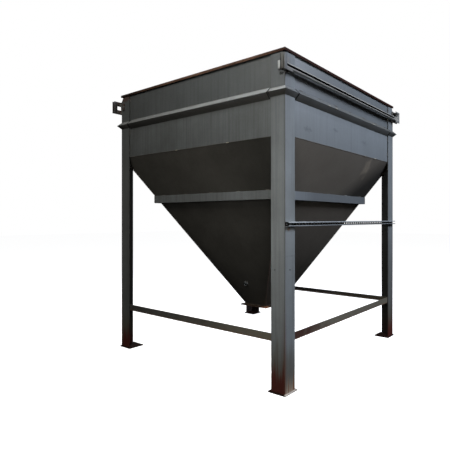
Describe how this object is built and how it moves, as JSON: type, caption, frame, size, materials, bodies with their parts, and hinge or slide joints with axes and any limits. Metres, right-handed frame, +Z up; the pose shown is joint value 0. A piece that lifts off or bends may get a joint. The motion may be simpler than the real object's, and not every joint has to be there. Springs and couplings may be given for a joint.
{
  "type": "hopper bin",
  "caption": "Square steel hopper bin on angle legs: upright plate skirt, pyramid cone with a flanged bottom outlet, a belt ring, lower braces and slotted strut channel.",
  "frame": {"origin": "on the floor under the middle of the plan", "axes": "+Z up; -Y is the front side, left of the near leg in the picture; +X is the right side, which carries the top rail and the slotted strut"},
  "size_m": [2.5589, 2.614, 3.034],
  "materials": {
    "grey_paint": "satin grey paint, weathered, with rust at the feet and edges",
    "rusted_steel": "bare steel plate and angle with dark red-brown rust",
    "galvanised": "dull zinc coat"
  },
  "bodies": {
    "root": {"base_plate_back_left": "rusted_steel", "base_plate_back_right": "rusted_steel", "base_plate_front_left": "rusted_steel", "base_plate_front_right": "rusted_steel", "belt_corner_back_left": "grey_paint", "belt_corner_back_right": "grey_paint", "belt_corner_front_left": "grey_paint", "belt_corner_front_right": "grey_paint", "belt_side_back": "grey_paint", "belt_side_front": "grey_paint", "belt_side_left": "grey_paint", "belt_side_right": "grey_paint", "brace_back": "grey_paint", "brace_front": "grey_paint", "brace_right": "grey_paint", "cone_side_back": "grey_paint", "cone_side_front": "grey_paint", "cone_side_left": "grey_paint", "cone_side_right": "grey_paint", "cone_stiffener_back": "grey_paint", "cone_stiffener_front": "grey_paint", "cone_stiffener_left": "grey_paint", "cone_stiffener_right": "grey_paint", "cone_stub": "galvanised", "leg_back_left": "grey_paint", "leg_back_right": "grey_paint", "leg_front_left": "grey_paint", "leg_front_right": "grey_paint", "middle_strut": "galvanised", "outlet_flange": "grey_paint", "rail_bracket_back_left": "grey_paint", "rail_bracket_back_right": "grey_paint", "rail_bracket_front_left": "grey_paint", "rail_bracket_front_right": "grey_paint", "rim_bar_back": "rusted_steel", "rim_bar_front": "rusted_steel", "rim_bar_left": "rusted_steel", "rim_bar_right": "rusted_steel", "skirt_wall_back": "grey_paint", "skirt_wall_front": "grey_paint", "skirt_wall_left": "grey_paint", "skirt_wall_right": "grey_paint", "top_rail": "grey_paint"}
  },
  "joints": []
}
